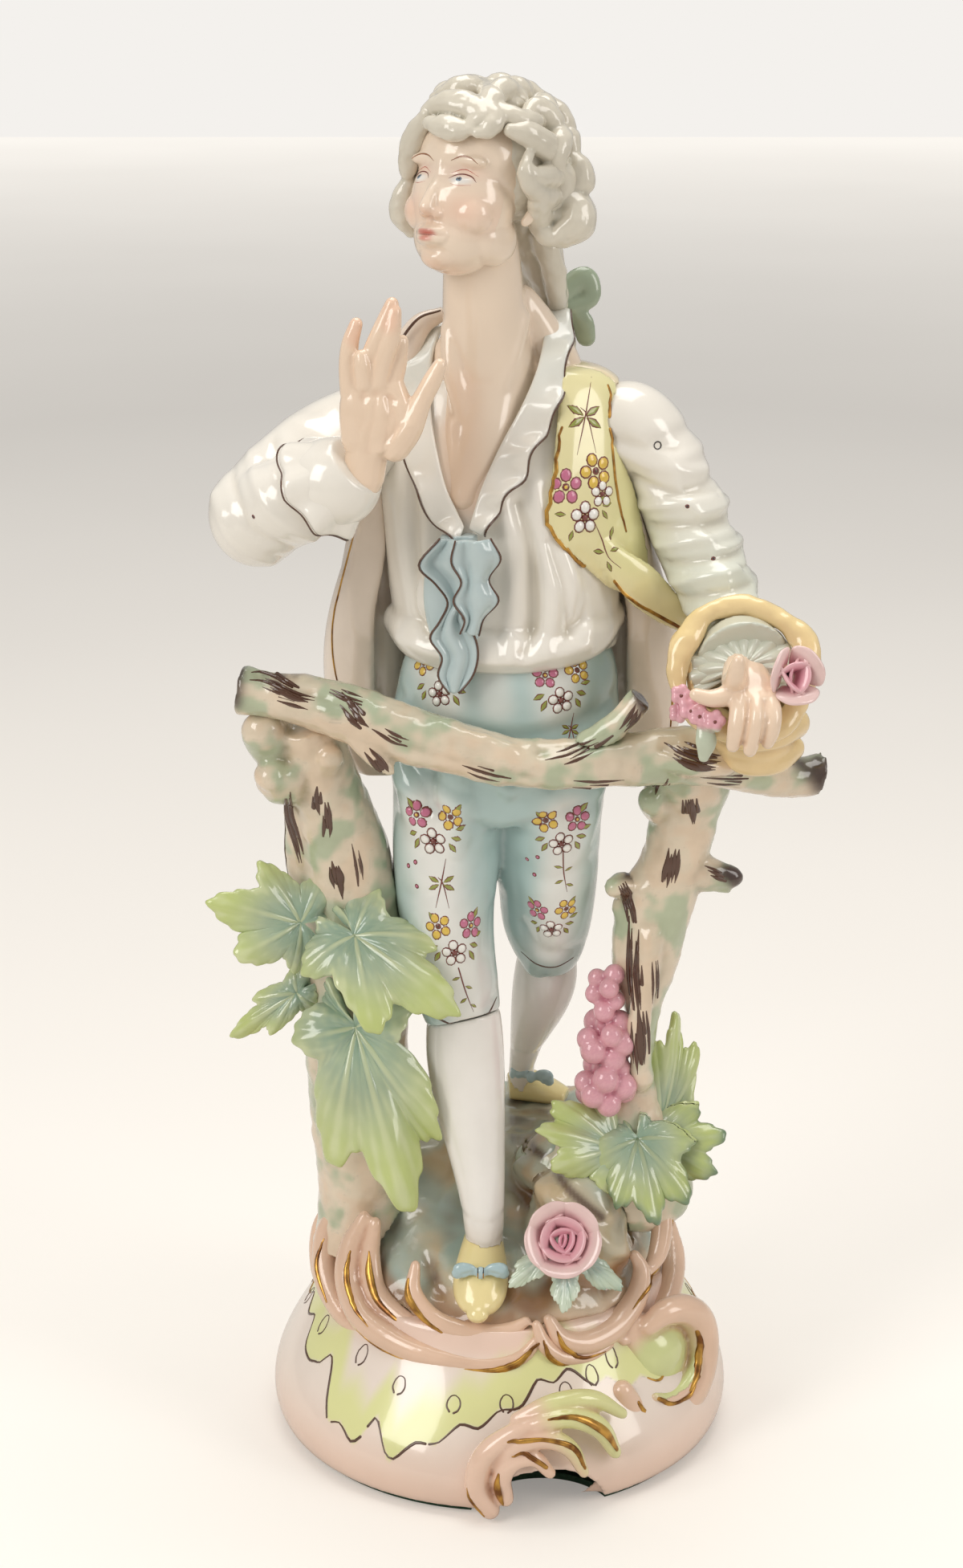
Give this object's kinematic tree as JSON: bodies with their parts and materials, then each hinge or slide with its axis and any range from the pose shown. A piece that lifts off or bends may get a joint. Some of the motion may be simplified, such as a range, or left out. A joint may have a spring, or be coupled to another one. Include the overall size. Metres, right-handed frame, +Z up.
{
  "type": "porcelain figurine",
  "caption": "Glazed porcelain figurine of a young gallant in knee breeches who leans on a branch rail over a rocky mound with leaves and roses, on a scrolled rococo base.",
  "frame": {"origin": "middle of the underside of the felt sheet, where the figurine rests on a table, under the middle of the plinth's top", "axes": "+Z up the figure, -Y the way the figure faces, +X to the viewer's right"},
  "size_m": [0.1311, 0.1053, 0.2986],
  "materials": {
    "felt": "dyed wool felt",
    "base_glaze": "gloss glaze, pinkish white with a pale green band and gold line",
    "scroll_glaze": "gloss glaze, peach with gold touches",
    "rock_glaze": "gloss glaze, grey green and brown",
    "bark_glaze": "gloss glaze, cream and green with brown strokes",
    "leaf_glaze": "gloss glaze, green",
    "pink_glaze": "gloss glaze, pink",
    "pale_leaf_glaze": "gloss glaze, pale blue green",
    "breeches_glaze": "gloss glaze, pale aqua with painted flowers",
    "stocking_glaze": "gloss glaze, white",
    "shoe_glaze": "gloss glaze, soft yellow",
    "bow_glaze": "gloss glaze, pale blue",
    "shirt_glaze": "gloss glaze, white",
    "jabot_glaze": "gloss glaze, pale blue with gold edge",
    "coat_front_glaze": "gloss glaze, pale yellow with painted flowers",
    "coat_back_glaze": "gloss glaze, pinkish tan",
    "flesh_glaze": "gloss glaze, peach",
    "wig_glaze": "gloss glaze, grey white",
    "ribbon_glaze": "gloss glaze, grey green",
    "basket_glaze": "gloss glaze, straw yellow"
  },
  "bodies": {
    "root": {"felt_sheet": "felt", "plinth": "base_glaze", "rim_scroll_left": "scroll_glaze", "rim_scroll_front": "scroll_glaze", "rim_scroll_right": "scroll_glaze", "rim_scroll_back": "scroll_glaze", "volute": "scroll_glaze", "arch_shell": "scroll_glaze", "rock": "rock_glaze", "rock_ledge": "rock_glaze", "left_post": "bark_glaze", "right_post": "bark_glaze", "rail": "bark_glaze", "rail_twig": "bark_glaze", "vine_leaf_side": "leaf_glaze", "vine_leaf_front": "leaf_glaze", "vine_leaf_small": "leaf_glaze", "vine_leaf_hanging": "leaf_glaze", "bush_leaf_left": "leaf_glaze", "bush_leaf_front": "leaf_glaze", "bush_leaf_right": "leaf_glaze", "bush_leaf_tall": "leaf_glaze", "berry_cluster": "pink_glaze", "rose": "pink_glaze", "basket_rose": "pink_glaze", "basket_buds": "pink_glaze", "rose_leaf_left": "pale_leaf_glaze", "rose_leaf_front": "pale_leaf_glaze", "rose_leaf_right": "pale_leaf_glaze", "breeches_hips": "breeches_glaze", "breeches_front_leg": "breeches_glaze", "breeches_rear_leg": "breeches_glaze", "front_stocking": "stocking_glaze", "rear_stocking": "stocking_glaze", "front_shoe": "shoe_glaze", "rear_shoe": "shoe_glaze", "front_shoe_bow": "bow_glaze", "rear_shoe_bow": "bow_glaze", "shirt_torso": "shirt_glaze", "raised_sleeve": "shirt_glaze", "raised_cuff": "shirt_glaze", "resting_sleeve": "shirt_glaze", "resting_cuff": "shirt_glaze", "collar_frill": "shirt_glaze", "jabot": "jabot_glaze", "coat_front": "coat_front_glaze", "coat_back": "coat_back_glaze", "neck": "flesh_glaze", "head": "flesh_glaze", "raised_hand": "flesh_glaze", "resting_hand": "flesh_glaze", "wig": "wig_glaze", "wig_top_curls": "wig_glaze", "wig_right_curls": "wig_glaze", "wig_left_curls": "wig_glaze", "queue": "wig_glaze", "hair_ribbon": "ribbon_glaze", "basket_rim": "basket_glaze", "basket_body": "basket_glaze"}
  },
  "joints": []
}
